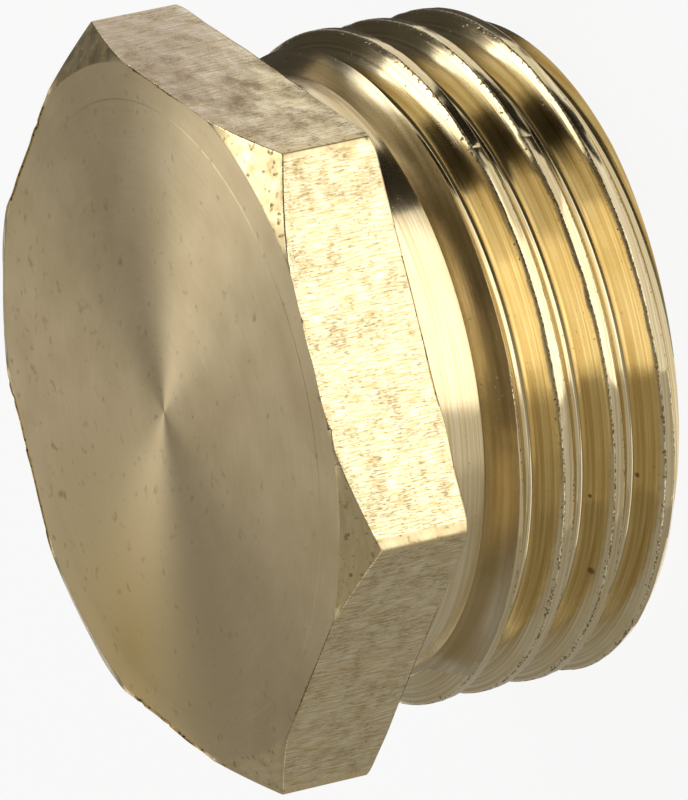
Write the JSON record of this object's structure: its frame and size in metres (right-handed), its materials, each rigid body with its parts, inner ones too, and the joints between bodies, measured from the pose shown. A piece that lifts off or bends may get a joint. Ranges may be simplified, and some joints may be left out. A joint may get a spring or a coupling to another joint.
{
  "type": "threaded plug",
  "caption": "Solid brass screw plug with a thin hexagon head, a plain relief under the seat and a right-hand metric fine thread, for closing a tapped port.",
  "frame": {"origin": "centre of the flat threaded end that the plug stands on", "axes": "+Z along the plug's axis from the threaded end up to the head face; +X out of one hexagon flat"},
  "size_m": [0.018, 0.0208, 0.0107],
  "materials": {
    "brass": "turned head face and thread, drawn hexagon flats with light handling marks"
  },
  "bodies": {
    "root": {"plug": "brass"}
  },
  "joints": []
}
